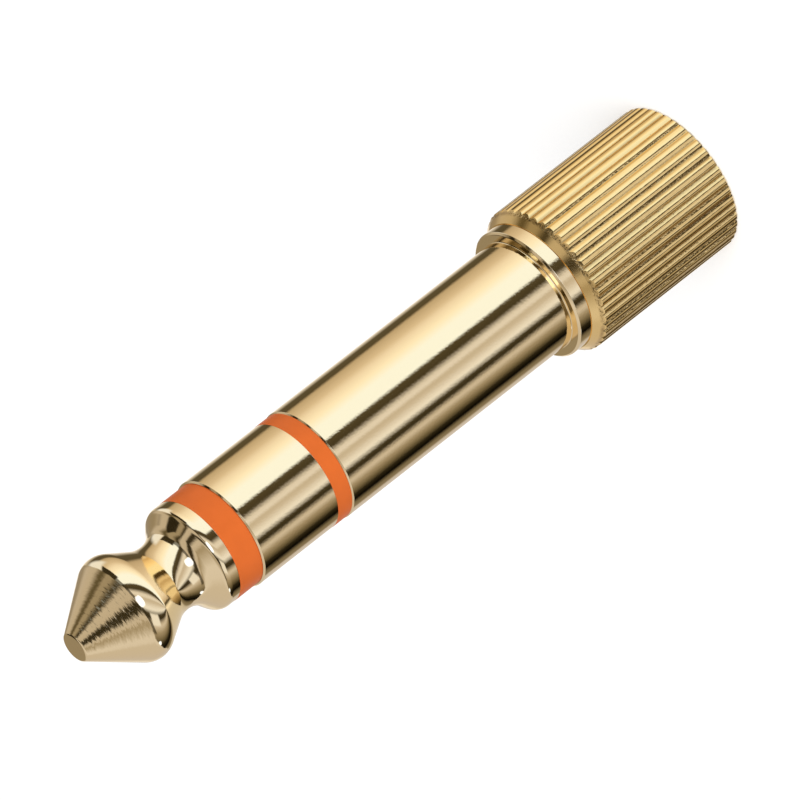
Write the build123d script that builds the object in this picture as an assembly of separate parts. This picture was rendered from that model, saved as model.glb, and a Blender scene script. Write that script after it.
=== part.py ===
from build123d import *
import math
import os

# Audio jack adapter: a 6.35 mm stereo plug whose back end is a 3.5 mm stereo socket.
# Millimetres. The rear face lies in the plane z = 0 and the plug points up the +Z axis.

# Plug: lengths along the axis, from the rear face to the tip
shell_length = 10.05
collar_length = 0.85
sleeve_length = 15.45
rear_insulator_width = 0.96
ring_width = 5.15
front_insulator_width = 1.51
tip_length = 8.45

# Plug: outer radii
sleeve_radius = 3.175
rear_insulator_radius = 3.13
ring_radius = 3.12
front_insulator_radius = 3.01
tip_land_radius = 3.00
contact_edge = 0.08

# Tip: a cone, a rounded crown, a neck and a shoulder
tip_end_radius = 0.80
tip_end_edge = 0.07
tip_cone_length = 3.43
tip_cone_angle = 35.0
tip_crown_rounding = 1.10
tip_back_angle = 30.0
neck_radius = 1.92
neck_length = 1.13
neck_back_rounding = 1.20
shoulder_angle = 49.0
shoulder_root_rounding = 1.40
shoulder_bevel = 0.20

# Collar of the sleeve
collar_radius = 3.72
collar_edge = 0.20
collar_cove = 0.20

# Knurled shell
shell_radius = 4.22
shell_face_radius = 3.76
shell_front_slope = 0.60
shell_rear_edge = 0.20
knurl_teeth = 45
knurl_depth = 0.22
knurl_angle = 90.0

# Nested conductors and their insulating tubes
rod_radius = 0.80
rod_grip = 5.00
rod_head_radius = 1.20
tip_tube_wall = 0.43
ring_tube_wall = 0.33
flare_width = 0.20
ring_insulator_wall = 0.80
head_height = 0.30
rod_head_edge = 0.20

# Terminals and washers behind the plug
sleeve_washer_thickness = 0.50
terminal_thickness = 0.30
terminal_washer_thickness = 0.50
terminal_radius = 2.45

# Small socket
socket_depth = 14.60
socket_radius = 1.80
bush_recess = 0.15
bush_wall = 0.80
bush_flange_height = 0.80
bush_lead_in = 0.30
bush_seat_height = 3.40
insert_bore_radius = 2.00
insert_end_wall = 0.50
insert_flange_height = 0.40
insert_wall = 0.78
insert_slot_skin = 0.23
rod_head_room = 1.00
sleeve_tail_wall = 0.55

# Spring contacts, bent from one strip
spring_thickness = 0.20
spring_width = 1.20
spring_bend = 0.20
spring_side_gap = 0.10
spring_back_gap = 0.10
spring_overlap = 0.28
spring_tip_lift = 0.38
spring_lead_in = 0.90
tip_spring_angle = 90.0
ring_spring_angle = 210.0
sleeve_spring_angle = 330.0
tip_spring_height = 12.10
ring_spring_height = 9.30
sleeve_spring_height = 6.30
root_lean = 0.27
bump_run = 0.85
foot_gap = 0.10
sleeve_spring_root = 10.40
slot_end_gap = 0.40
notch_side_gap = 0.30
notch_depth_gap = 0.35

# Radial room between pieces that are pushed into each other, and how far a cut runs past a face
fit_gap = 0.02
cut_past = 0.04

# Heights of the plug's pieces
collar_z = shell_length
sleeve_z = collar_z + collar_length
rear_insulator_z = sleeve_z + sleeve_length
ring_z = rear_insulator_z + rear_insulator_width
front_insulator_z = ring_z + ring_width
tip_z = front_insulator_z + front_insulator_width
total_length = tip_z + tip_length

# Radii of the nested tubes, from the rod outward
tip_tube_bore = rod_radius + fit_gap
tip_tube_radius = tip_tube_bore + tip_tube_wall
ring_tube_bore = tip_tube_radius + fit_gap
ring_tube_radius = ring_tube_bore + ring_tube_wall
ring_insulator_bore = ring_tube_radius + fit_gap
ring_insulator_tube_radius = ring_insulator_bore + ring_insulator_wall
sleeve_bore_radius = ring_insulator_tube_radius + fit_gap

# Radii of the socket's pieces, from its bore outward
insert_radius = insert_bore_radius + insert_wall
tail_bore_radius = insert_radius + fit_gap
tail_radius = tail_bore_radius + sleeve_tail_wall
shell_bore_radius = tail_radius + fit_gap
bush_radius = socket_radius + bush_wall
slot_floor_radius = insert_radius - insert_slot_skin

# Radii of the springs, at the middle of the strip, and the lengths of their feet
half_strip = spring_thickness / 2
flare_radius = ring_tube_radius + flare_width
root_radius = slot_floor_radius - spring_back_gap - half_strip
bump_radius = socket_radius - spring_overlap + half_strip
tip_foot_length = root_radius - half_strip - foot_gap - rod_head_radius
ring_foot_length = root_radius - half_strip - foot_gap - flare_radius
sleeve_foot_end = math.sqrt(insert_radius**2 - (spring_width / 2) ** 2)
sleeve_foot_length = sleeve_foot_end - half_strip - root_radius

# Heights of the socket's pieces and of the stack behind the plug
insert_z = bush_seat_height + bush_flange_height
tail_z = insert_z + insert_flange_height
insert_end_z = socket_depth + insert_end_wall
tip_terminal_z = insert_end_z + rod_head_room
terminal_washer_z = tip_terminal_z + terminal_thickness
ring_flare_z = terminal_washer_z + terminal_washer_thickness
ring_terminal_z = ring_flare_z + head_height
sleeve_washer_z = ring_terminal_z + terminal_thickness
sleeve_step_z = sleeve_washer_z + sleeve_washer_thickness


def turned(points, rounds=(), bevels=()):
    """Turns a closed outline of (radius, height) points about the Z axis.

    A round is a (point, radius) pair and a bevel a (point, length) pair, for the outline's corner there.
    """
    outline = make_face(Polyline(*points, close=True))
    for corner, radius in rounds:
        outline = fillet(outline.vertices().sort_by_distance((*corner, 0))[0], radius)
    for corner, length in bevels:
        outline = chamfer(outline.vertices().sort_by_distance((*corner, 0))[0], length)
    return revolve(Plane.XZ * outline, Axis.Z)


def ring_shape(outer_radius, inner_radius, low, high):
    """A plain tube or washer between two heights."""
    outline = [(inner_radius, low), (outer_radius, low), (outer_radius, high), (inner_radius, high)]
    return turned(outline)


def radial_box(angle, inner, outer, width, low, high):
    """A box that runs outward at an angle about the axis, between two radii and two heights."""
    box = Box(outer - inner, width, high - low, align=(Align.MIN, Align.CENTER, Align.MIN))
    return Rot(0, 0, angle) * Pos(inner, 0, low) * box


def make_tip_contact():
    """Cone, crown, neck and shoulder, with a blind hole for the rod."""
    cone = math.tan(math.radians(tip_cone_angle))
    back = math.tan(math.radians(tip_back_angle))
    shoulder = math.tan(math.radians(shoulder_angle))
    crown = (tip_end_radius + tip_cone_length * cone, total_length - tip_cone_length)
    neck_front_z = crown[1] - (crown[0] - neck_radius) / back
    neck_front = (neck_radius, neck_front_z)
    neck_rear = (neck_radius, neck_front_z - neck_length)
    shoulder_z = neck_rear[1] - (tip_land_radius - neck_radius) / shoulder
    shoulder_point = (tip_land_radius, shoulder_z)
    end = (tip_end_radius, total_length)
    hole_radius = rod_radius + fit_gap
    hole_top = tip_z + rod_grip
    points = [
        (0, total_length),
        end,
        crown,
        neck_front,
        neck_rear,
        shoulder_point,
        (tip_land_radius, tip_z),
        (hole_radius, tip_z),
        (hole_radius, hole_top),
        (0, hole_top),
    ]
    rounds = [
        (crown, tip_crown_rounding),
        (neck_front, neck_back_rounding),
        (neck_rear, shoulder_root_rounding),
    ]
    bevels = [(end, tip_end_edge), (shoulder_point, shoulder_bevel)]
    return turned(points, rounds, bevels)


def make_centre_rod():
    """Rod with its rear end peened over the tip terminal."""
    top = tip_z + rod_grip
    head = (rod_head_radius, tip_terminal_z - head_height)
    points = [
        (0, top),
        (rod_radius, top),
        (rod_radius, tip_terminal_z),
        (rod_head_radius, tip_terminal_z),
        head,
        (0, head[1]),
    ]
    return turned(points, bevels=[(head, rod_head_edge)])


def flanged_bush(flange_radius, flange_low, flange_high, tube_radius, tube_low, bore):
    """Moulded insulating bush: a wide ring with a thin tube behind it."""
    points = [
        (bore, flange_high),
        (flange_radius, flange_high),
        (flange_radius, flange_low),
        (tube_radius, flange_low),
        (tube_radius, tube_low),
        (bore, tube_low),
    ]
    return turned(points)


def make_ring_contact():
    """Ring with its tube, flared at the rear over the ring terminal."""
    front = front_insulator_z
    points = [
        (ring_tube_bore, front),
        (ring_radius - contact_edge, front),
        (ring_radius, front - contact_edge),
        (ring_radius, ring_z),
        (ring_tube_radius, ring_z),
        (ring_tube_radius, ring_terminal_z),
        (flare_radius, ring_terminal_z),
        (flare_radius, ring_flare_z),
        (ring_tube_bore, ring_flare_z),
    ]
    return turned(points)


def make_plug_sleeve():
    """Sleeve, collar and the tail that goes into the shell, bored through in two steps."""
    cove = (sleeve_radius, sleeve_z)
    points = [
        (sleeve_bore_radius, rear_insulator_z),
        (sleeve_radius - contact_edge, rear_insulator_z),
        (sleeve_radius, rear_insulator_z - contact_edge),
        cove,
        (collar_radius - collar_edge, sleeve_z),
        (collar_radius, sleeve_z - collar_edge),
        (collar_radius, collar_z),
        (tail_radius, collar_z),
        (tail_radius, tail_z),
        (tail_bore_radius, tail_z),
        (tail_bore_radius, sleeve_step_z),
        (sleeve_bore_radius, sleeve_step_z),
    ]
    return turned(points, bevels=[(cove, collar_cove)])


def knurl_grooves():
    """Straight V grooves along the whole shell, drawn a little past its faces."""
    root = shell_radius - knurl_depth
    outer = shell_radius + cut_past
    half_width = (outer - root) * math.tan(math.radians(knurl_angle / 2))
    groove = Polygon((root, 0), (outer, -half_width), (outer, half_width), align=None)
    grooves = Sketch() + PolarLocations(0, knurl_teeth) * groove
    return Pos(0, 0, -cut_past) * extrude(grooves, shell_length + 2 * cut_past)


def make_knurled_shell():
    """Turned shell with a sloped front, a stepped bore and straight knurl."""
    points = [
        (bush_radius + fit_gap, 0),
        (shell_radius - shell_rear_edge, 0),
        (shell_radius, shell_rear_edge),
        (shell_radius, shell_length - shell_front_slope),
        (shell_face_radius, shell_length),
        (shell_bore_radius, shell_length),
        (shell_bore_radius, bush_seat_height),
        (bush_radius + fit_gap, bush_seat_height),
    ]
    return turned(points) - knurl_grooves()


def make_socket_bush():
    """Metal bush at the mouth, held by its flange between the shell and the insert."""
    points = [
        (socket_radius, insert_z),
        (tail_radius, insert_z),
        (tail_radius, bush_seat_height),
        (bush_radius, bush_seat_height),
        (bush_radius, bush_recess),
        (socket_radius + bush_lead_in, bush_recess),
        (socket_radius, bush_recess + bush_lead_in),
    ]
    return turned(points)


def make_socket_insert():
    """Moulded body of the small socket, closed at its inner end and slotted for the springs."""
    points = [
        (insert_bore_radius, insert_z),
        (tail_radius, insert_z),
        (tail_radius, tail_z),
        (insert_radius, tail_z),
        (insert_radius, tip_terminal_z),
        (insert_bore_radius, tip_terminal_z),
        (insert_bore_radius, insert_end_z),
        (0, insert_end_z),
        (0, socket_depth),
        (insert_bore_radius, socket_depth),
    ]
    body = turned(points)
    width = spring_width + 2 * spring_side_gap
    start = bump_radius - half_strip
    for angle, height in ((tip_spring_angle, tip_spring_height), (ring_spring_angle, ring_spring_height)):
        low = height - spring_lead_in - slot_end_gap
        body -= radial_box(angle, start, slot_floor_radius, width, low, tip_terminal_z)
    low = sleeve_spring_height - spring_lead_in - slot_end_gap
    high = sleeve_spring_root + slot_end_gap
    body -= radial_box(sleeve_spring_angle, start, insert_radius + cut_past, width, low, high)
    return body


def notched_washer(inner_radius, outer_radius, low, high):
    """Washer with a notch at its rim that lets the ring spring pass."""
    washer = ring_shape(outer_radius, inner_radius, low, high)
    width = spring_width + 2 * notch_side_gap
    start = root_radius - half_strip - notch_depth_gap
    return washer - radial_box(ring_spring_angle, start, outer_radius + cut_past, width, low, high)


def make_spring(angle, foot, root_z, bump_z):
    """Bent strip: a foot at its root, a leaning leaf, a bump that reaches into the socket, a free end.

    The foot runs inward from the root where it is positive and outward where it is negative.
    """
    lean_z = bump_z + bump_run
    points = [
        (root_radius - foot, root_z),
        (root_radius, root_z),
        (root_radius - root_lean, lean_z),
        (bump_radius, bump_z),
        (bump_radius + spring_tip_lift, bump_z - spring_lead_in),
    ]
    centre_line = FilletPolyline(*points, radius=spring_bend)
    strip = make_face(offset(centre_line, amount=half_strip, side=Side.BOTH))
    leaf = extrude(Plane.XZ * strip, spring_width / 2, both=True)
    return Rot(0, 0, angle) * leaf


pieces = {
    "tip_contact": make_tip_contact(),
    "centre_rod": make_centre_rod(),
    "tip_insulator": flanged_bush(
        front_insulator_radius, front_insulator_z, tip_z, tip_tube_radius, ring_flare_z, tip_tube_bore
    ),
    "ring_contact": make_ring_contact(),
    "ring_insulator": flanged_bush(
        rear_insulator_radius,
        rear_insulator_z,
        ring_z,
        ring_insulator_tube_radius,
        sleeve_step_z,
        ring_insulator_bore,
    ),
    "plug_sleeve": make_plug_sleeve(),
    "knurled_shell": make_knurled_shell(),
    "socket_bush": make_socket_bush(),
    "socket_insert": make_socket_insert(),
    "sleeve_washer": ring_shape(insert_radius, ring_insulator_bore, sleeve_washer_z, sleeve_step_z),
    "ring_terminal": ring_shape(terminal_radius, ring_insulator_bore, ring_terminal_z, sleeve_washer_z),
    "terminal_washer": notched_washer(tip_tube_bore, insert_radius, terminal_washer_z, ring_flare_z),
    "tip_terminal": notched_washer(tip_tube_bore, terminal_radius, tip_terminal_z, terminal_washer_z),
    "tip_spring": make_spring(
        tip_spring_angle, tip_foot_length, tip_terminal_z - half_strip, tip_spring_height
    ),
    "ring_spring": make_spring(
        ring_spring_angle, ring_foot_length, ring_terminal_z - half_strip, ring_spring_height
    ),
    "sleeve_spring": make_spring(
        sleeve_spring_angle, -sleeve_foot_length, sleeve_spring_root, sleeve_spring_height
    ),
}

os.makedirs("parts", exist_ok=True)
for name, piece in pieces.items():
    export_step(piece, f"parts/{name}.step")
    print(name, "volume", round(piece.volume, 3))
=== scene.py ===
# %% [markdown]
# # An audio jack adapter, dressed for the camera
# The adapter is a 6.35 mm stereo plug with a 3.5 mm socket in its back end. Its metal is turned brass
# with a thin gold plating, its two insulating rings are orange plastic, and its shell is knurled.
# The engineering model holds the sizes. This script loads it as a fixed frame, builds finer meshes
# for the pieces that show, gives every piece its finish, and sets up the studio.

# %% Load the engineering model
import math
import random

import bmesh
import bpy
from mathutils import Matrix, Vector


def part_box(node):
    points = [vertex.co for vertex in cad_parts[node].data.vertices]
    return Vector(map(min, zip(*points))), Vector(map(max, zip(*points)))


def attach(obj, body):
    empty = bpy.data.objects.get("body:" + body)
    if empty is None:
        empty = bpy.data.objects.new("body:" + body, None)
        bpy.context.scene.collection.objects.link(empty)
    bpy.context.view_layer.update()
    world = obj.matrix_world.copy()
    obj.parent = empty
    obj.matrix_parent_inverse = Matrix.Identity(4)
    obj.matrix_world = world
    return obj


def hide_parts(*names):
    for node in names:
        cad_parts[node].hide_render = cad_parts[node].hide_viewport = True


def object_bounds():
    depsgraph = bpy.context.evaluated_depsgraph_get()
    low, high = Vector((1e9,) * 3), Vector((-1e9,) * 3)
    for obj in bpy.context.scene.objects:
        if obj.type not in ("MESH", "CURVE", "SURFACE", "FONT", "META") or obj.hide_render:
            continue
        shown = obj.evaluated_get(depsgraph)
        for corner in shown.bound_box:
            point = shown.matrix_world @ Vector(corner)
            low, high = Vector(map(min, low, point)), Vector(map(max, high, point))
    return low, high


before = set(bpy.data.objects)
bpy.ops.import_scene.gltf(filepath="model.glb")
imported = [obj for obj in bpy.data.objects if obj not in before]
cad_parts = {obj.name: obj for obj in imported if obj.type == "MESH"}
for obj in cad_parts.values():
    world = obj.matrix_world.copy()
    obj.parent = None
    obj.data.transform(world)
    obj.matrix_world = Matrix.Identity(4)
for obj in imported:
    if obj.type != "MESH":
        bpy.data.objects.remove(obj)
cad_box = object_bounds()
mm = 0.001
print("nodes:", sorted(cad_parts))
print("height in mm:", round(cad_box[1].z / mm, 2))

# %% [markdown]
# ## Sizes read from the model
# Each turned piece is as wide as its box and starts and ends where its box does, so these sizes are
# read from the model and not typed again. Only small details get a number of their own.


# %% Measure the nodes
def low_mm(node):
    """Height of a node's lowest point, in mm."""
    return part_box(node)[0].z / mm


def high_mm(node):
    """Height of a node's highest point, in mm."""
    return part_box(node)[1].z / mm


def radius_mm(node):
    """Largest radius of a node, in mm."""
    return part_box(node)[1].x / mm


sleeve_top = high_mm("plug_sleeve")
collar_low = high_mm("knurled_shell")
ring_low = high_mm("ring_insulator")
ring_high = high_mm("ring_contact")
tip_low = low_mm("tip_contact")
tip_high = high_mm("tip_contact")
print("sleeve top", round(sleeve_top, 2), "ring", round(ring_low, 2), round(ring_high, 2))
print("tip", round(tip_low, 2), round(tip_high, 2))

# %% [markdown]
# ## Turning a piece
# A lathe cuts one outline and the spindle does the rest. Blender's Spin does the same: an outline of
# a few straight lines and arcs is drawn in the XZ plane and spun round the Z axis. A cylinder with a
# bevel would be quicker, but the tip's cone, crown and neck are one flowing outline. Each corner is
# (radius, height, rounding). A rounding is an arc, which is itself a small spin of one vertex.

# %% Draw an outline with rounded corners
arc_step = math.radians(5)


def rounded_corner(bm, before, corner, after, rounding):
    """Spins a vertex into an arc that touches both lines of a corner, and gives its two ends."""
    back = (before - corner).normalized()
    ahead = (after - corner).normalized()
    half = back.angle(ahead) / 2
    start = corner + back * rounding / math.tan(half)
    end = corner + ahead * rounding / math.tan(half)
    centre = corner + (back + ahead).normalized() * rounding / math.sin(half)
    turn = math.pi - 2 * half
    first = bm.verts.new(start)
    axis = (start - centre).cross(end - centre).normalized()
    steps = max(2, round(turn / arc_step))
    arc = bmesh.ops.spin(bm, geom=[first], cent=centre, axis=axis, angle=turn, steps=steps)
    return first, arc["geom_last"][0]


print("steps in a quarter arc:", round(math.pi / 2 / arc_step))

# %% [markdown]
# A smooth surface takes its shading from its corners, so a long plain cylinder next to a tight arc
# would pick up the arc's tilt along its whole length, and its reflections would bend. Holding
# vertices close to both ends of each straight line keep that tilt out.

# %% Join the corners and hold the straight lines
hold = 0.02 * mm


def hold_line(bm, edge):
    """Adds a vertex close to each end of a straight line, so that its middle stays true."""
    start, end = edge.verts
    length = edge.calc_length()
    if length < 4 * hold:
        return
    first_part, _ = bmesh.utils.edge_split(edge, start, hold / length)
    long_part = edge if end in edge.verts else first_part
    bmesh.utils.edge_split(long_part, end, hold / long_part.calc_length())


def draw_outline(bm, corners, closed):
    """Draws an outline of (radius, height, rounding) corners in mm in the XZ plane."""
    points = [Vector((radius * mm, 0, height * mm)) for radius, height, _ in corners]
    ends = []
    for i, (_, _, rounding) in enumerate(corners):
        if rounding:
            after = points[(i + 1) % len(points)]
            ends.append(rounded_corner(bm, points[i - 1], points[i], after, rounding * mm))
        else:
            vert = bm.verts.new(points[i])
            ends.append((vert, vert))
    pairs = list(zip(ends, ends[1:]))
    if closed:
        pairs.append((ends[-1], ends[0]))
    for (_, left), (entered, _) in pairs:
        hold_line(bm, bm.edges.new((left, entered)))


print("holding vertices in mm from each end:", round(hold / mm, 3))

# %% [markdown]
# After the spin, the seam and the pole are merged and the faces are turned outwards. The shading is
# smooth, apart from edges over a set angle, which stay crisp as a lathe tool leaves them.

# %% Finish a mesh and put it on its body
merge_distance = 0.0005 * mm
crisp_angle = math.radians(24)


def finish_piece(bm, name, body, nodes, material):
    """Turns a bmesh into a shaded piece that rides on a body and stands for its nodes."""
    bmesh.ops.remove_doubles(bm, verts=bm.verts, dist=merge_distance)
    bmesh.ops.recalc_face_normals(bm, faces=bm.faces)
    open_edges = sum(not edge.is_manifold for edge in bm.edges)
    mesh = bpy.data.meshes.new(name)
    bm.to_mesh(mesh)
    bm.free()
    mesh.polygons.foreach_set("use_smooth", [True] * len(mesh.polygons))
    mesh.set_sharp_from_angle(angle=crisp_angle)
    mesh.materials.append(material)
    piece = bpy.data.objects.new(name, mesh)
    bpy.context.collection.objects.link(piece)
    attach(piece, body)
    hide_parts(*nodes)
    triangles = sum(len(face.vertices) - 2 for face in mesh.polygons)
    print(name, "triangles", triangles, "open edges", open_edges)


# %% Spin an outline into a solid
spin_steps = 240


def turned_piece(name, node, material, corners, closed=True):
    """A piece that a lathe would make in one go."""
    bm = bmesh.new()
    draw_outline(bm, corners, closed)
    outline = bm.verts[:] + bm.edges[:]
    bmesh.ops.spin(bm, geom=outline, axis=(0, 0, 1), angle=math.tau, steps=spin_steps, use_merge=True)
    finish_piece(bm, name, "plug", [node], material)


print("steps in a full turn:", spin_steps)

# %% [markdown]
# ## Materials
# Every finish is made from nodes that read Object coordinates, so a pattern keeps its real scale.
# The first helpers make an empty material and join nodes, to keep each finish short.


# %% Start a material
def start_material(name, color, metallic, roughness):
    """A new material, with its node tree and its Principled shader."""
    material = bpy.data.materials.new(name)
    material.use_nodes = True
    tree = material.node_tree
    shader = tree.nodes["Principled BSDF"]
    shader.inputs["Base Color"].default_value = (*color, 1)
    shader.inputs["Metallic"].default_value = metallic
    shader.inputs["Roughness"].default_value = roughness
    return material, tree, shader


print("materials from the model:", len(bpy.data.materials))

# %% Noise, bumps and variation
# most of the noise lies between these two values
noise_low = 0.3
noise_high = 0.7


def object_noise(tree, scale_mm, stretch=(1, 1, 1), detail=2.0):
    """Noise whose grains are about scale_mm long, squeezed or drawn out along each axis."""
    place = tree.nodes.new("ShaderNodeTexCoord")
    mapping = tree.nodes.new("ShaderNodeMapping")
    noise = tree.nodes.new("ShaderNodeTexNoise")
    mapping.inputs["Scale"].default_value = [1 / (scale_mm * mm * s) for s in stretch]
    noise.inputs["Scale"].default_value = 1.0
    noise.inputs["Detail"].default_value = detail
    tree.links.new(place.outputs["Object"], mapping.inputs["Vector"])
    tree.links.new(mapping.outputs["Vector"], noise.inputs["Vector"])
    return noise.outputs["Fac"]


def add_bump(tree, height, depth_mm, strength=1.0, onto=None):
    """A bump of a given depth, laid over an earlier one if there is one."""
    bump = tree.nodes.new("ShaderNodeBump")
    bump.inputs["Distance"].default_value = depth_mm * mm
    bump.inputs["Strength"].default_value = strength
    tree.links.new(height, bump.inputs["Height"])
    if onto:
        tree.links.new(onto, bump.inputs["Normal"])
    return bump.outputs["Normal"]


def vary(tree, value, low, high, socket):
    """Drives a socket between two values with a pattern."""
    spread = tree.nodes.new("ShaderNodeMapRange")
    spread.inputs["From Min"].default_value = noise_low
    spread.inputs["From Max"].default_value = noise_high
    spread.inputs["To Min"].default_value = low
    spread.inputs["To Max"].default_value = high
    tree.links.new(value, spread.inputs["Value"])
    tree.links.new(spread.outputs["Result"], socket)


print("noise is spread from", noise_low, "to", noise_high)

# %% [markdown]
# Gold plating is a bright metal with a pale warm tint. Brass bars are turned before they are plated,
# so fine rings from the tool stay under the gold, and the plating itself is slightly uneven, like
# the skin of an orange. Rings are noise that is squeezed along the axis and drawn out across it.

# %% Gold plating
gold_tint = (1.0, 0.78, 0.42)
bright = (0.05, 0.08)


def gold_plating(name, tint, roughness, ring_depth, skin_depth):
    """Metal with turning rings and an uneven skin; roughness is a range and the depths are in mm."""
    material, tree, shader = start_material(name, tint, 1.0, roughness[0])
    rings = object_noise(tree, scale_mm=0.16, stretch=(4, 4, 1))
    skin = object_noise(tree, scale_mm=0.12)
    ringed = add_bump(tree, rings, ring_depth)
    normal = add_bump(tree, skin, skin_depth, onto=ringed)
    tree.links.new(normal, shader.inputs["Normal"])
    vary(tree, object_noise(tree, scale_mm=0.8), *roughness, shader.inputs["Roughness"])
    return material, tree


plug_gold, _ = gold_plating("plug_gold", gold_tint, bright, ring_depth=0.0008, skin_depth=0.0021)
print("plating:", plug_gold.name)

# %% [markdown]
# The tip's cone was cut with a coarser feed than the rest, so its rings are deeper. They stop at the
# crown, which is polished to slide well, so the bump's strength follows the height.


# %% Gold plating on the tip
def fade(tree, coordinate, start_mm, end_mm):
    """0 before one place along a coordinate, 1 after the other, and even between."""
    spread = tree.nodes.new("ShaderNodeMapRange")
    spread.inputs["From Min"].default_value = start_mm * mm
    spread.inputs["From Max"].default_value = end_mm * mm
    tree.links.new(coordinate, spread.inputs["Value"])
    return spread.outputs["Result"]


def object_axes(tree):
    """The object's own x, y and z as sockets."""
    place = tree.nodes.new("ShaderNodeTexCoord")
    axes = tree.nodes.new("ShaderNodeSeparateXYZ")
    tree.links.new(place.outputs["Object"], axes.inputs[0])
    return axes.outputs


# heights in mm between which the rings come in
cone_fade = (tip_high - 3.0, tip_high - 2.7)
tip_gold, tip_tree = gold_plating("tip_gold", gold_tint, bright, ring_depth=0.006, skin_depth=0.0008)
ring_bump = next(node for node in tip_tree.nodes if node.type == "BUMP")
on_cone = fade(tip_tree, object_axes(tip_tree)["Z"], *cone_fade)
tip_tree.links.new(on_cone, ring_bump.inputs["Strength"])
print("tip plating:", tip_gold.name)

# %% [markdown]
# The knurled shell is rolled and not polished. Its crests are burnished by the wheel, while the
# grooves keep chatter marks and, some more than others, a painted shade: a dark brown colour that
# stands in for the shade at the bottom of the grooves. Both fade in with depth below the crest, which
# is the distance from the axis. The sloped front is turned after rolling, so it stays smooth.

# %% Start the knurl's plating
shell_tint = (1.0, 0.70, 0.27)
# painted shade: the dark brown that colours the bottoms of the knurl's grooves in place of their shade
groove_shade_tint = (0.12, 0.04, 0.006)
shell_gold, shell_tree, shell_shader = start_material("shell_gold", shell_tint, 1.0, 0.11)
shell_axes = object_axes(shell_tree)
flat = shell_tree.nodes.new("ShaderNodeCombineXYZ")
from_axis = shell_tree.nodes.new("ShaderNodeVectorMath")
from_axis.operation = "LENGTH"
shell_tree.links.new(shell_axes["X"], flat.inputs["X"])
shell_tree.links.new(shell_axes["Y"], flat.inputs["Y"])
shell_tree.links.new(flat.outputs[0], from_axis.inputs[0])
print("knurl finish:", shell_gold.name)

# %% Mark the knurl and its grooves
# heights between which the knurl fades in at each end, and radii between which a groove does, in mm
front_fade = (collar_low - 0.30, collar_low - 0.50)
rear_fade = (0.05, 0.15)
groove_fade = (4.17, 4.07)


def shell_product(first, second):
    """Two masks of the shell multiplied, so that both must hold."""
    both = shell_tree.nodes.new("ShaderNodeMath")
    both.operation = "MULTIPLY"
    shell_tree.links.new(first, both.inputs[0])
    shell_tree.links.new(second, both.inputs[1])
    return both.outputs[0]


below_front = fade(shell_tree, shell_axes["Z"], *front_fade)
above_rear = fade(shell_tree, shell_axes["Z"], *rear_fade)
on_knurl = shell_product(below_front, above_rear)
in_groove = shell_product(fade(shell_tree, from_axis.outputs["Value"], *groove_fade), on_knurl)
print("knurl from", rear_fade[1], "to", round(front_fade[1], 2), "mm")

# %% Add chatter and grain
chatter = object_noise(shell_tree, scale_mm=0.13, stretch=(1, 1, 1.3))
chatter_normal = add_bump(shell_tree, chatter, depth_mm=0.05)
shell_tree.links.new(in_groove, chatter_normal.node.inputs["Strength"])
grain = object_noise(shell_tree, scale_mm=0.08, stretch=(1, 1, 4))
shell_normal = add_bump(shell_tree, grain, depth_mm=0.003, onto=chatter_normal)
shell_tree.links.new(on_knurl, shell_normal.node.inputs["Strength"])
shell_tree.links.new(shell_normal, shell_shader.inputs["Normal"])
print("bumps on the shell:", sum(node.type == "BUMP" for node in shell_tree.nodes))

# %% Paint shade into the grooves
# places of the two colours among a Mix node's inputs, and of their mixture among its outputs
mix_below = 6
mix_above = 7
mix_result = 2
# The grooves' painted shade is laid on unevenly, darker in some grooves than in others.
unevenness = object_noise(shell_tree, scale_mm=0.5, stretch=(1, 1, 30), detail=1.0)
groove_shade_share = shell_product(in_groove, unevenness)
vary(shell_tree, unevenness, 0.1, 1.0, groove_shade_share.node.inputs[1])
groove_shade = shell_tree.nodes.new("ShaderNodeMix")
groove_shade.data_type = "RGBA"
groove_shade.inputs[mix_below].default_value = (*shell_tint, 1)
groove_shade.inputs[mix_above].default_value = (*groove_shade_tint, 1)
shell_tree.links.new(groove_shade_share, groove_shade.inputs["Factor"])
shell_tree.links.new(groove_shade.outputs[mix_result], shell_shader.inputs["Base Color"])
print("nodes in the knurl finish:", len(shell_tree.nodes))

# %% [markdown]
# The insulators are moulded in an orange plastic and then turned to size with the plug, which leaves
# them satin, with hardly any gloss. The socket's body keeps the gloss of its mould. The colour shifts
# a little, as pigment does, and a soft grain breaks the reflection.

# %% Moulded plastics
def moulded_plastic(name, color, roughness, grain_depth, gloss):
    """Opaque plastic with a soft grain and a slight drift in its colour."""
    material, tree, shader = start_material(name, color, 0.0, roughness)
    shader.inputs["Specular IOR Level"].default_value = gloss
    grain = object_noise(tree, scale_mm=0.12, detail=3.0)
    tree.links.new(add_bump(tree, grain, grain_depth, strength=0.6), shader.inputs["Normal"])
    drift = tree.nodes.new("ShaderNodeHueSaturation")
    drift.inputs["Color"].default_value = (*color, 1)
    vary(tree, object_noise(tree, scale_mm=1.5), 0.96, 1.04, drift.inputs["Value"])
    tree.links.new(drift.outputs["Color"], shader.inputs["Base Color"])
    return material


orange_tint = (0.68, 0.138, 0.022)
black_tint = (0.03, 0.03, 0.032)
fibre_tint = (0.13, 0.035, 0.018)
orange_plastic = moulded_plastic("orange_plastic", orange_tint, 0.40, grain_depth=0.001, gloss=0.12)
black_plastic = moulded_plastic("black_plastic", black_tint, 0.35, grain_depth=0.002, gloss=0.5)
fibre = moulded_plastic("fibre", fibre_tint, 0.75, grain_depth=0.004, gloss=0.12)
print("plastics:", orange_plastic.name, black_plastic.name, fibre.name)

# %% [markdown]
# The bush at the socket's mouth is plated with a smoother skin than the plug. Inside, the rod and the
# terminals are bare brass, and the springs are bronze strip with a thin flash of gold, which stays
# as dull as the strip came from the rolling mill.

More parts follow.
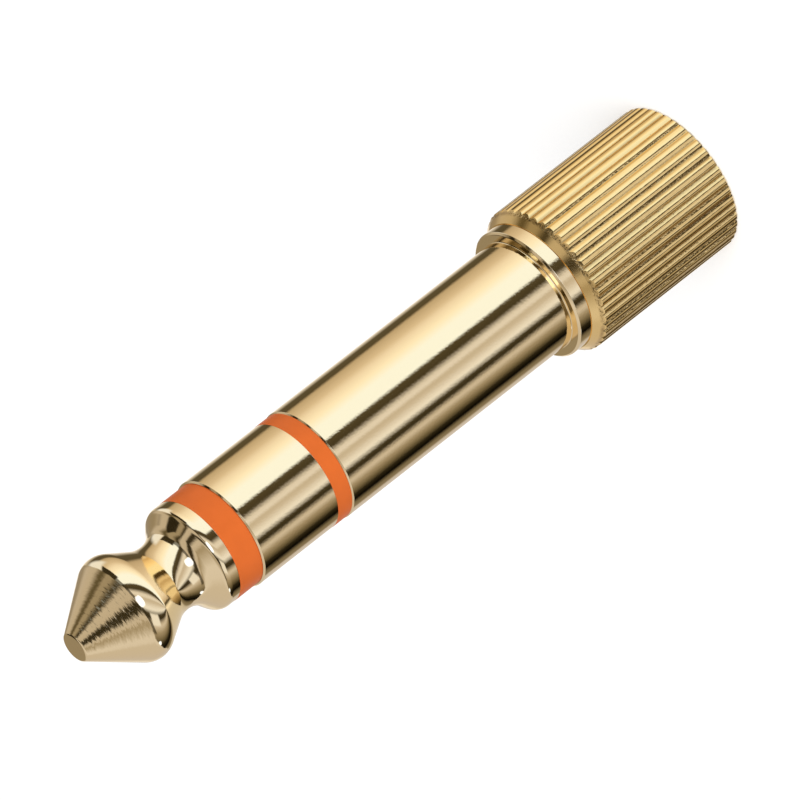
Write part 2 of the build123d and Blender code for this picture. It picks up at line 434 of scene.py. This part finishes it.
# %% Mouth plating, bare brass and spring strip
brass_tint = (0.86, 0.62, 0.28)
bronze_tint = (0.96, 0.74, 0.44)
clean = (0.06, 0.10)
satin = (0.28, 0.36)
dull = (0.34, 0.44)
mouth_gold, _ = gold_plating("mouth_gold", gold_tint, clean, ring_depth=0.0008, skin_depth=0.0010)
plain_brass, _ = gold_plating("plain_brass", brass_tint, satin, ring_depth=0.0005, skin_depth=0.0004)
spring_bronze, _ = gold_plating("spring_bronze", bronze_tint, dull, ring_depth=0.0002, skin_depth=0.0003)
print("mouth, bar and strip:", mouth_gold.name, plain_brass.name, spring_bronze.name)

# %% [markdown]
# ## The tip
# The tip is one turned piece: a flat end, a cone, a rounded crown that slides over the socket's
# spring, a neck where that spring rests, and a shoulder against the first insulator. The outline
# starts on the axis and ends on the axis, so the spin closes it.

# %% Turn the tip
end_radius = 0.80
cone_length = 3.43
cone_angle = math.radians(35)
back_angle = math.radians(30)
neck_radius = 1.92
neck_length = 1.13
shoulder_angle = math.radians(49)
land_radius = radius_mm("tip_contact")
rod_hole_radius = 0.82
rod_hole_depth = 5.0

crown_radius = end_radius + cone_length * math.tan(cone_angle)
crown_height = tip_high - cone_length
neck_front = crown_height - (crown_radius - neck_radius) / math.tan(back_angle)
neck_rear = neck_front - neck_length
shoulder_height = neck_rear - (land_radius - neck_radius) / math.tan(shoulder_angle)
tip_outline = [
    (0, tip_high, 0),
    (end_radius, tip_high, 0.16),
    (crown_radius, crown_height, 1.10),
    (neck_radius, neck_front, 1.70),
    (neck_radius, neck_rear, 1.40),
    (land_radius, shoulder_height, 0.50),
    (land_radius, tip_low, 0.03),
    (rod_hole_radius, tip_low, 0),
    (rod_hole_radius, tip_low + rod_hole_depth, 0),
    (0, tip_low + rod_hole_depth, 0),
]
turned_piece("tip", "tip_contact", tip_gold, tip_outline, closed=False)

# %% [markdown]
# ## The two insulators
# Each is a bush: the orange ring that shows, and a thin tube that runs back inside the plug and
# keeps the conductors apart. Each ring stands a hair below the metal behind it, and its edges are
# broken by a tiny rounding, as a careful turner leaves them.


# %% Mould the insulators
edge_break = 0.02


def insulator(name, node, ring_bottom, bore, tube_radius):
    """A wide ring on top of a thin tube."""
    outer = radius_mm(node)
    top = high_mm(node)
    bottom = low_mm(node)
    outline = [
        (bore, top, 0),
        (outer, top, edge_break),
        (outer, ring_bottom, edge_break),
        (tube_radius, ring_bottom, 0),
        (tube_radius, bottom, 0),
        (bore, bottom, 0),
    ]
    turned_piece(name, node, orange_plastic, outline)


# bore and outer radius of each tube, in mm
front_tube = (0.82, 1.25)
rear_tube = (1.62, 2.42)
insulator("front_orange_ring", "tip_insulator", ring_high, *front_tube)
insulator("rear_orange_ring", "ring_insulator", sleeve_top, *rear_tube)

# %% [markdown]
# ## The ring contact
# A short sleeve between the insulators, with its own tube that runs back to its terminal, where it
# is flared. Its front edge has a tiny bevel, which catches the light as a thin bright line beside
# the orange.

# %% Turn the ring contact
contact_edge = 0.08
ring_radius = radius_mm("ring_contact")
ring_tube_bore = 1.27
ring_tube_radius = 1.60
flare_radius = 1.80
flare_length = 0.30
flare_low = low_mm("ring_contact")
flare_high = flare_low + flare_length
ring_outline = [
    (ring_tube_bore, ring_high, 0),
    (ring_radius - contact_edge, ring_high, edge_break),
    (ring_radius, ring_high - contact_edge, edge_break),
    (ring_radius, ring_low, edge_break),
    (ring_tube_radius, ring_low, 0),
    (ring_tube_radius, flare_high, 0),
    (flare_radius, flare_high, 0),
    (flare_radius, flare_low, 0),
    (ring_tube_bore, flare_low, 0),
]
turned_piece("ring_band", "ring_contact", plug_gold, ring_outline)

# %% [markdown]
# ## The sleeve and its collar
# The long sleeve ends in a collar that stops the plug in its socket. The tool's nose leaves a small
# cove between the two, and the collar's front edge is bevelled. The narrow flat face between cove
# and bevel mirrors the sleeve, and gold seen in gold is what makes the deep golden line there. Behind
# the collar, a narrower tail goes into the shell.

# %% Turn the sleeve
sleeve_radius = 3.175
collar_radius = radius_mm("plug_sleeve")
collar_length = 0.85
collar_high = collar_low + collar_length
collar_edge = 0.11
cove = 0.06
tail_radius = 3.35
tail_bore = 2.80
sleeve_bore = 2.44
tail_low = low_mm("plug_sleeve")
sleeve_step = low_mm("ring_insulator")
sleeve_outline = [
    (sleeve_bore, sleeve_top, 0),
    (sleeve_radius - contact_edge, sleeve_top, edge_break),
    (sleeve_radius, sleeve_top - contact_edge, edge_break),
    (sleeve_radius, collar_high, cove),
    (collar_radius - collar_edge, collar_high, 0.06),
    (collar_radius, collar_high - collar_edge, 0.05),
    (collar_radius, collar_low, 0.03),
    (tail_radius, collar_low, 0),
    (tail_radius, tail_low, 0),
    (tail_bore, tail_low, 0),
    (tail_bore, sleeve_step, 0),
    (sleeve_bore, sleeve_step, 0),
]
turned_piece("sleeve", "plug_sleeve", plug_gold, sleeve_outline)

# %% [markdown]
# ## The knurled shell
# Straight knurl is pressed in by a toothed wheel: 45 ridges with V grooves between them. One ridge
# is three points of a cross-section. It is copied round by a spin that duplicates, its corners are
# rounded by a bevel, and the closed line is then extruded upwards, ring by ring. The sloped front
# cuts through the ridges, and that gives its saw-toothed edge: a point further out ends lower down.

# %% Draw the cross-section of the knurl
ridge_count = 45
groove_depth = 0.15
crest_rounding = 0.085
root_rounding = 0.025
shell_radius = 4.22
shell_length = high_mm("knurled_shell")
ridge_pitch = math.tau / ridge_count
crest_half = ridge_pitch / 2 - groove_depth / shell_radius


def polar(radius, angle):
    """A point of the cross-section, from a radius in mm and an angle."""
    return Vector((radius * mm * math.cos(angle), radius * mm * math.sin(angle), 0))


def knurl_section(bm):
    """The closed outer line of the shell, with every ridge a little different, as pressed ones are."""
    wear = random.Random(11)
    line = []
    roots = []
    for i in range(ridge_count):
        middle = (i + wear.uniform(-0.03, 0.03)) * ridge_pitch
        crest = shell_radius - wear.uniform(0, 0.02)
        half = crest_half * wear.uniform(0.65, 1.25)
        root = shell_radius - groove_depth + wear.uniform(0, 0.04)
        line.append(bm.verts.new(polar(crest, middle - half)))
        line.append(bm.verts.new(polar(crest, middle + half)))
        line.append(bm.verts.new(polar(root, middle + ridge_pitch / 2)))
        roots.append(line[-1])
    for start, end in zip(line, line[1:] + line[:1]):
        bm.edges.new((start, end))
    crests = [vert for vert in line if vert not in roots]
    for corners, rounding in ((crests, crest_rounding), (roots, root_rounding)):
        bmesh.ops.bevel(
            bm, geom=corners, offset=rounding * mm, segments=4, profile=0.5, affect="VERTICES", material=-1
        )


print("ridges:", ridge_count, "pitch in mm:", round(ridge_pitch * shell_radius, 3))

# %% Measure the shell's slopes
face_radius = 3.76
front_slope = 0.60
rear_edge = 0.08


def front_height(radius):
    """Height of the sloped front at a radius, in mm."""
    return shell_length - front_slope * (radius - face_radius) / (shell_radius - face_radius)


def rear_height(radius):
    """Height of the bevel round the rear edge at a radius, in mm."""
    return max(0.0, radius - (shell_radius - rear_edge))


def flat_radius(vert):
    """Distance of a vertex from the axis, in mm."""
    return math.hypot(vert.co.x, vert.co.y) / mm


print("the sloped front goes from", round(front_height(shell_radius), 2), "to", round(shell_length, 2), "mm")

# %% [markdown]
# Each new ring of the shell is the last one extruded and then moved. A ring may be bound to a slope,
# where height follows radius, or pulled in to a round circle. Rings close to both ends of the
# straight side hold its shading true. The outer side and the bore end in the same circle on the rear
# face, where merging the doubles closes the shell.

# %% Raise the shell ring by ring
shell_bore = 3.37
bush_seat = 3.40
bush_hole = 2.62
inner_rear = 3.70
side_shares = (0.003, 0.25, 0.5, 0.75, 0.997)


def raise_ring(bm, edges, place):
    """Extrudes a closed line and puts each new vertex where place(radius) says: (radius, height)."""
    made = bmesh.ops.extrude_edge_only(bm, edges=edges)["geom"]
    verts = [item for item in made if isinstance(item, bmesh.types.BMVert)]
    for vert in verts:
        old = flat_radius(vert)
        radius, height = place(old)
        vert.co.x *= radius / old
        vert.co.y *= radius / old
        vert.co.z = height * mm
    return [item for item in made if isinstance(item, bmesh.types.BMEdge)]


bm = bmesh.new()
knurl_section(bm)
first_ring = bm.edges[:]
for vert in bm.verts:
    vert.co.z = rear_height(flat_radius(vert)) * mm
ring = first_ring
for share in side_shares:
    ring = raise_ring(bm, ring, lambda r, s=share: (r, rear_height(r) * (1 - s) + front_height(r) * s))
ring = raise_ring(bm, ring, lambda r: (r, front_height(r)))
ring = raise_ring(bm, ring, lambda r: (face_radius, shell_length))
ring = raise_ring(bm, ring, lambda r: (shell_bore, shell_length))
ring = raise_ring(bm, ring, lambda r: (shell_bore, bush_seat))
ring = raise_ring(bm, ring, lambda r: (bush_hole, bush_seat))
ring = raise_ring(bm, ring, lambda r: (bush_hole, 0))
raise_ring(bm, ring, lambda r: (inner_rear, 0))
rear_ring = raise_ring(bm, first_ring, lambda r: (min(r, shell_radius - rear_edge), 0))
raise_ring(bm, rear_ring, lambda r: (inner_rear, 0))
finish_piece(bm, "shell", "plug", ["knurled_shell"], shell_gold)

# %% [markdown]
# ## The socket's mouth
# A turned bush lines the hole at the back. Its lip is rounded, so that a small plug finds its way in.

# %% Turn the bush
bush_bore = 1.80
bush_radius = 2.60
bush_low = low_mm("socket_bush")
bush_high = high_mm("socket_bush")
flange_radius = radius_mm("socket_bush")
flange_thickness = 0.80
flange_low = bush_high - flange_thickness
lead_in = 0.30
lip_rounding = 0.12
bush_outline = [
    (bush_bore, bush_high, 0),
    (flange_radius, bush_high, 0),
    (flange_radius, flange_low, 0),
    (bush_radius, flange_low, 0),
    (bush_radius, bush_low, 0.05),
    (bush_bore + lead_in, bush_low, lip_rounding),
    (bush_bore, bush_low + lead_in, lip_rounding),
]
turned_piece("mouth_bush", "socket_bush", mouth_gold, bush_outline)

# %% [markdown]
# ## Finishes for the inner pieces
# The rod, terminals, washers, springs and the socket's body keep their engineering meshes, which
# have the right shape already. Each takes a finish from the list above.

# %% Dress the inner pieces
inner_finishes = {
    "centre_rod": plain_brass,
    "ring_terminal": plain_brass,
    "tip_terminal": plain_brass,
    "sleeve_washer": fibre,
    "terminal_washer": fibre,
    "socket_insert": black_plastic,
    "tip_spring": spring_bronze,
    "ring_spring": spring_bronze,
    "sleeve_spring": spring_bronze,
}
for node, material in inner_finishes.items():
    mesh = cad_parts[node].data
    mesh.materials.clear()
    mesh.materials.append(material)
print("dressed:", len(inner_finishes))

# %% [markdown]
# ## The floor
# The adapter stands on its socket end on a plain pale floor, which fills the picture. The floor is
# lit as paper is, so it keeps the adapter's shadow, and a faint glow of its own lifts it to white.
# The glow is for rays from the camera and for those that a gloss or glass surface sends. The side
# that faces down is clear, so that the socket's mouth can be looked at from below, and a gap finer
# than a hair keeps the floor and the shell's end from sharing one plane.

# %% Lay the floor
floor_size = 3.0
floor_gap = 0.05 * mm
bm = bmesh.new()
bmesh.ops.create_grid(bm, x_segments=1, y_segments=1, size=floor_size / 2)
floor_mesh = bpy.data.meshes.new("floor")
bm.to_mesh(floor_mesh)
bm.free()
floor = bpy.data.objects.new("floor", floor_mesh)
bpy.context.collection.objects.link(floor)
floor_material, floor_tree, floor_shader = start_material("floor_paper", (0.80, 0.80, 0.80), 0.0, 1.0)
floor_shader.inputs["Specular IOR Level"].default_value = 0.0
floor_shader.inputs["Emission Color"].default_value = (1, 1, 1, 1)
print("floor in m:", floor_size)

# %% Let the floor glow, and clear its lower side
floor_glow = 0.32


def seen_ray(tree):
    """1 for rays from the camera, from gloss and through glass, and 0 for the rest."""
    path = tree.nodes.new("ShaderNodeLightPath")
    total = path.outputs["Is Camera Ray"]
    for kind in ("Is Glossy Ray", "Is Transmission Ray"):
        either = tree.nodes.new("ShaderNodeMath")
        either.operation = "MAXIMUM"
        tree.links.new(total, either.inputs[0])
        tree.links.new(path.outputs[kind], either.inputs[1])
        total = either.outputs[0]
    return total


glow = floor_tree.nodes.new("ShaderNodeMath")
glow.operation = "MULTIPLY"
glow.inputs[1].default_value = floor_glow
floor_tree.links.new(seen_ray(floor_tree), glow.inputs[0])
floor_tree.links.new(glow.outputs[0], floor_shader.inputs["Emission Strength"])
side = floor_tree.nodes.new("ShaderNodeNewGeometry")
clear = floor_tree.nodes.new("ShaderNodeBsdfTransparent")
either_side = floor_tree.nodes.new("ShaderNodeMixShader")
floor_tree.links.new(side.outputs["Backfacing"], either_side.inputs["Fac"])
floor_tree.links.new(floor_shader.outputs[0], either_side.inputs[1])
floor_tree.links.new(clear.outputs[0], either_side.inputs[2])
floor_tree.links.new(either_side.outputs[0], floor_tree.nodes["Material Output"].inputs["Surface"])
floor_mesh.materials.append(floor_material)
floor.location.z = -floor_gap
floor.visible_glossy = False
print("floor finish:", floor_material.name)

# %% [markdown]
# ## The studio that the gold mirrors
# Polished metal has hardly a look of its own: it shows what stands around it. Small shiny things are
# photographed between white panels with black gaps, and the gaps draw the dark lines along the
# plug. Real panels could be modelled, but they would have to stand very close to such a small thing,
# so the world itself carries them, by direction. A lower ring of panels is mirrored by the straight
# sides, and an upper ring by the cone and the sloped rims.


# %% Describe the panels
# azimuth in degrees, 0 at the camera and growing towards the plug's left side; brightness at each end
lower_ring = (
    ("back wall, left", -180, -165, 0.66, 0.99),
    ("back wall, edge", -156, -152, 0.90, 0.78),
    ("dark corner", -135, -119, 0.09, 0.08),
    ("warm left wall", -112, -92, 0.44, 0.62),
    ("warm far end of the wide panel", -80, -64, 0.85, 1.05),
    ("wide panel", -50, -28, 1.17, 1.17),
    ("first gap", -24, -13, 0.07, 0.05),
    ("narrow panel", -4, 1, 0.74, 0.81),
    ("narrow panel, dip", 7, 12, 0.55, 0.59),
    ("narrow panel, far end", 24, 29, 0.86, 0.92),
    ("second gap", 40, 49, 0.05, 0.03),
    ("side panel", 61, 66, 0.54, 0.61),
    ("side panel, fading", 80, 96, 0.33, 0.15),
    ("black cloth", 111, 128, 0.02, 0.0),
    ("grey cloth", 142, 153, 0.17, 0.22),
    ("back wall, right", 161, 180, 0.56, 0.66),
)
upper_ring = (
    ("back wall, left", -180, -172, 0.82, 0.92),
    ("grey corner", -158, -150, 0.27, 0.27),
    ("left panel", -134, -118, 0.50, 0.49),
    ("gap", -102, -96, 0.11, 0.09),
    ("dim panel", -84, -66, 0.31, 0.31),
    ("dark card", -43, -34, 0.05, 0.04),
    ("overhead panel", -13, 17, 0.52, 0.50),
    ("second dark card", 28, 42, 0.03, 0.03),
    ("small panel", 53, 60, 0.56, 0.54),
    ("dim panel, right", 66, 69, 0.33, 0.35),
    ("side panel", 92, 108, 0.70, 0.68),
    ("right wall", 122, 168, 0.58, 0.56),
    ("back wall, right", 176, 180, 0.66, 0.80),
)
# azimuth and elevation in degrees of the line where the two rings meet
meeting_line = (
    (-180, -16), (-165, -12), (-152, -4), (-140, 14), (-130, 25), (-118, 35), (-100, 45), (-90, 50),
    (-60, 56), (-35, 56), (0, 47), (20, 37), (40, 27), (60, 14), (80, 4), (95, -3), (115, -24),
    (140, -38), (170, -38), (180, -12),
)
print("panels:", len(lower_ring), "in the lower ring and", len(upper_ring), "in the upper one")

# %% [markdown]
# Bright panels are daylight white, a little blue beside the gold. Dark gaps are brown, as cloth
# and wood are. One small function gives a panel its colour from its brightness. The left wall is
# warm, as by a window in the evening, the back wall is plain paper, and the small lamps are bare
# bulbs behind frosted glass, so these have colours of their own.


# %% Colour a panel
def panel_color(brightness):
    """Warm when dark, neutral at half and cool when bright."""
    warm = brightness * (1.2 - 0.3 * brightness)
    cool = brightness * (0.55 + 1.2 * brightness - 0.45 * brightness**2)
    return (warm, brightness, cool, 1)


warm_shift = (1.10, 1.0, 0.82, 1)
paper_color = (1.0, 0.96, 0.92)
lamp_color = (1.3, 1.6, 2.6, 1)
print("dark and bright:", [round(c, 2) for c in panel_color(0.1)], [round(c, 2) for c in panel_color(1.1)])

# %% [markdown]
# The camera is rolled, so the panels, which stood upright in the photograph's own frame, lean in the
# adapter's. The world turns each direction by that lean, and splits it into azimuth and elevation.

# %% Start the world
panel_lean = math.radians(24.5)
world = bpy.data.worlds.new("studio")
bpy.context.scene.world = world
world.use_nodes = True
sky = world.node_tree
sky.nodes.clear()


def sky_math(operation, first, second=None):
    """One Math node of the world; its inputs are sockets or numbers."""
    node = sky.nodes.new("ShaderNodeMath")
    node.operation = operation
    for value, socket in zip((first, second), node.inputs):
        if isinstance(value, (int, float)):
            socket.default_value = value
        elif value is not None:
            sky.links.new(value, socket)
    return node.outputs[0]


direction = sky.nodes.new("ShaderNodeTexCoord").outputs["Generated"]
lean = sky.nodes.new("ShaderNodeVectorRotate")
lean.rotation_type = "Y_AXIS"
lean.inputs["Angle"].default_value = -panel_lean
sky.links.new(direction, lean.inputs["Vector"])
split = sky.nodes.new("ShaderNodeSeparateXYZ")
sky.links.new(lean.outputs["Vector"], split.inputs[0])
to_left = sky_math("MULTIPLY", split.outputs["X"], -1.0)
to_camera = sky_math("MULTIPLY", split.outputs["Y"], -1.0)
azimuth = sky_math("MULTIPLY", sky_math("ARCTAN2", to_left, to_camera), 180 / math.pi)
elevation = sky_math("MULTIPLY", sky_math("ARCSINE", split.outputs["Z"]), 180 / math.pi)
turn_share = sky_math("ADD", sky_math("MULTIPLY", azimuth, 1 / 360), 0.5)
print("lean in degrees:", round(math.degrees(panel_lean), 1))

# %% [markdown]
# A ColorRamp holds one ring: its position is the azimuth, and its stops are the panels' ends. The
# line where the two rings meet is a ramp too. As a ramp holds 0 to 1 only, a height on that line is
# kept as a share of a span of degrees, counted from the middle.


# %% Draw the meeting line
def ramp_of(stops, along):
    """A ramp over a share of the full turn, from stops of (azimuth, colour)."""
    node = sky.nodes.new("ShaderNodeValToRGB")
    elements = node.color_ramp.elements
    elements.remove(elements[-1])
    elements[0].position = 0
    for azimuth_deg, _ in stops[1:]:
        elements.new((azimuth_deg + 180) / 360)
    for element, (_, color) in zip(elements, stops):
        element.color = color
    sky.links.new(along, node.inputs["Fac"])
    return node.outputs["Color"]


height_span = 200.0
line_stops = [(place, (0.5 + height / height_span,) * 3 + (1,)) for place, height in meeting_line]
line_share = sky_math("SUBTRACT", ramp_of(line_stops, turn_share), 0.5)
line_height = sky_math("MULTIPLY", line_share, height_span)
above_line = sky_math("SUBTRACT", elevation, line_height)
print("stops in the meeting line:", len(line_stops))


# %% Draw the lower ring
def ring_light(ring_of_panels, along):
    """The light of a ring of panels, along a share of the full turn."""
    stops = []
    for name, start, end, near, far in ring_of_panels:
        for place, brightness in ((start, near), (end, far)):
            color = panel_color(brightness)
            if "warm" in name:
                color = [part * shift for part, shift in zip(color, warm_shift)]
            if "back wall" in name:
                color = (*[brightness * part for part in paper_color], 1)
            stops.append((place, color))
    return ramp_of(stops, along)


lower_light = ring_light(lower_ring, turn_share)
print("world nodes with the lower ring:", len(sky.nodes))

# %% [markdown]
# The upper panels hang at a slant, so the fine rings on the cone, which tilt its surface only up and
# down, still shift the panels' edges sideways. That is why the dark stripes on the cone are ragged.

# %% Slant the upper ring
upper_slant = 1.7
slant_from = 3.0
slant_limit = 8.0
slant_height = sky_math("MINIMUM", sky_math("SUBTRACT", above_line, slant_from), slant_limit)
slant_shift = sky_math("MULTIPLY", slant_height, upper_slant / 360)
upper_light = ring_light(upper_ring, sky_math("ADD", turn_share, slant_shift))
print("slant of the upper panels:", upper_slant)

# %% [markdown]
# A few things hang apart from the rings: a dark frame where they meet, a high white panel on the left,
# a low one on the right, small lamps, the shaded top of the back wall, and dark beams high above it.
# The lamps make the white spots on the tip. The beams draw a fine dark line round its flat end and
# down the far side of its curves. Smooth steps fade one area into another.


# %% Fade and mix lights
def smooth_step(value, low, high):
    """0 below low, 1 above high and smooth between."""
    node = sky.nodes.new("ShaderNodeMapRange")
    node.interpolation_type = "SMOOTHSTEP"
    node.inputs["From Min"].default_value = low
    node.inputs["From Max"].default_value = high
    sky.links.new(value, node.inputs["Value"])
    return node.outputs["Result"]


def window(value, low, high, soft):
    """1 between low and high, fading out over soft on both sides."""
    rise = smooth_step(value, low - soft, low)
    fall = smooth_step(value, high, high + soft)
    return sky_math("MULTIPLY", rise, sky_math("SUBTRACT", 1.0, fall))


def mix_light(factor, below, above):
    """Mixes two lights, each a socket or a colour."""
    node = sky.nodes.new("ShaderNodeMix")
    node.data_type = "RGBA"
    sky.links.new(factor, node.inputs["Factor"])
    for value, socket in ((below, node.inputs[mix_below]), (above, node.inputs[mix_above])):
        if isinstance(value, tuple):
            socket.default_value = value
        else:
            sky.links.new(value, socket)
    return node.outputs[mix_result]


back_edge = (140, 154)
behind = smooth_step(sky_math("ABSOLUTE", azimuth), *back_edge)
print("the back wall fades in between", *back_edge, "degrees on both sides")

# %% Shape a panel, a lamp and a frame
frame_brightness = 0.03


def facing(azimuth_deg, elevation_deg):
    """The direction of an azimuth and an elevation in degrees."""
    a = math.radians(azimuth_deg)
    e = math.radians(elevation_deg)
    return Vector((-math.sin(a) * math.cos(e), -math.cos(a) * math.cos(e), math.sin(e)))


def patch(below, azimuths, elevations, soft, brightness):
    """Lays an even patch of light over what is there, between two azimuths and two heights."""
    area = sky_math("MULTIPLY", window(azimuth, *azimuths, soft), window(elevation, *elevations, soft))
    return mix_light(area, below, panel_color(brightness))


def spot(below, azimuth_deg, elevation_deg, radius, soft):
    """Lays a round lamp over what is there."""
    closeness = sky.nodes.new("ShaderNodeVectorMath")
    closeness.operation = "DOT_PRODUCT"
    sky.links.new(lean.outputs["Vector"], closeness.inputs[0])
    closeness.inputs[1].default_value = facing(azimuth_deg, elevation_deg)
    edge = math.cos(math.radians(radius + soft))
    area = smooth_step(closeness.outputs["Value"], edge, math.cos(math.radians(radius)))
    return mix_light(area, below, lamp_color)


def dark_frame(below, heights, azimuths, share):
    """Darkens a band along the meeting line, between two heights above it."""
    band = sky_math("MULTIPLY", window(above_line, *heights, soft=2), window(azimuth, *azimuths, soft=6))
    return mix_light(sky_math("MULTIPLY", band, share), below, panel_color(frame_brightness))


print("towards the camera:", [round(part, 2) for part in facing(0, 0)])

# %% Hang the rest
lower_light = patch(lower_light, (-130, -108), (16, 60), soft=14, brightness=0.95)
lower_light = patch(lower_light, (42, 61), (-27, -1), soft=7, brightness=0.90)
lower_light = dark_frame(lower_light, (-16, 5), (-98, -52), share=1.0)
lower_light = dark_frame(lower_light, (-9, 5), (-48, 80), share=0.8)
lower_light = spot(lower_light, 106, -17, radius=4, soft=3)
lower_light = spot(lower_light, 20, 25, radius=9, soft=4)
lower_light = spot(lower_light, 15, 17, radius=9, soft=4)
panels = mix_light(smooth_step(above_line, -1, 1), lower_light, upper_light)
panels = patch(panels, (-180, -106), (60, 84), soft=5, brightness=0.02)
shaded_top = sky_math("MULTIPLY", behind, smooth_step(elevation, -4, 8))
panels = mix_light(shaded_top, panels, panel_color(0.27))
high_beam = sky_math("MULTIPLY", behind, window(elevation, 42, 76, soft=8))
panels = mix_light(high_beam, panels, panel_color(0.02))
print("world nodes so far:", len(sky.nodes))

# %% [markdown]
# Only gloss sees the panels. The camera sees plain white past the floor's edge, and matt surfaces get
# an even light, as in a white tent.

# %% Sort the world's rays
tent_light = 0.66
light_path = sky.nodes.new("ShaderNodeLightPath")
tent_color = (tent_light, tent_light, tent_light, 1)
backdrop = mix_light(light_path.outputs["Is Camera Ray"], tent_color, (1.0, 1.0, 1.0, 1))
by_gloss = light_path.outputs["Is Glossy Ray"]
through_glass = light_path.outputs["Is Transmission Ray"]
mirrored = sky_math("MAXIMUM", by_gloss, through_glass)
backdrop = mix_light(mirrored, backdrop, panels)
background = sky.nodes.new("ShaderNodeBackground")
world_output = sky.nodes.new("ShaderNodeOutputWorld")
sky.links.new(backdrop, background.inputs["Color"])
sky.links.new(background.outputs[0], world_output.inputs["Surface"])
print("world nodes:", len(sky.nodes))

# %% [markdown]
# ## Lamps
# One large soft lamp above and beside the camera models the plastic and the shadow. The metal
# already mirrors the panels, so the lamp itself is kept out of its reflections.


# %% Hang the soft lamp
def soft_lamp(name, azimuth_deg, elevation_deg, distance, size, watts):
    """A square lamp that looks at the middle of the adapter; azimuth as for the panels."""
    towards = facing(azimuth_deg, elevation_deg)
    middle = (cad_box[0] + cad_box[1]) / 2
    data = bpy.data.lights.new(name, "AREA")
    data.size = size
    data.energy = watts
    lamp = bpy.data.objects.new(name, data)
    bpy.context.collection.objects.link(lamp)
    turn = towards.to_track_quat("Z", "Y").to_matrix().to_4x4()
    lamp.matrix_world = Matrix.Translation(middle + towards * distance) @ turn
    lamp.visible_glossy = False


soft_lamp("key_lamp", azimuth_deg=5, elevation_deg=45, distance=0.5, size=0.5, watts=1.9)
print("lamps:", len(bpy.data.lights))

# %% [markdown]
# ## The camera
# The photograph looks down on the plug's tip at 26.5 degrees through a long lens, and is turned so
# that the tip points to the lower left. The adapter stands upright here, so the camera rolls instead.

# %% Aim the camera
camera_distance = 580 * mm
camera_elevation = math.radians(26.5)
camera_roll = math.radians(127.95)
aim_height = 20.08 * mm
side_step = 0.22 * mm
focal_length = 525.0

right = Vector((1, 0, 0))
forward = Vector((0, math.cos(camera_elevation), -math.sin(camera_elevation)))
upward = right.cross(forward)
camera_data = bpy.data.cameras.new("camera")
camera_data.lens = focal_length
camera = bpy.data.objects.new("camera", camera_data)
bpy.context.collection.objects.link(camera)
bpy.context.scene.camera = camera
place = Vector((0, 0, aim_height)) - forward * camera_distance - right * side_step
cosine = math.cos(camera_roll)
sine = math.sin(camera_roll)
basis = Matrix((right * cosine - upward * sine, right * sine + upward * cosine, -forward)).transposed()
camera.matrix_world = Matrix.Translation(place) @ basis.to_4x4()
print("camera in mm:", [round(x / mm, 1) for x in camera.location])

# %% [markdown]
# ## Colours
# The Standard view keeps white paper white.

# %% Set the view
bpy.context.scene.view_settings.view_transform = "Standard"
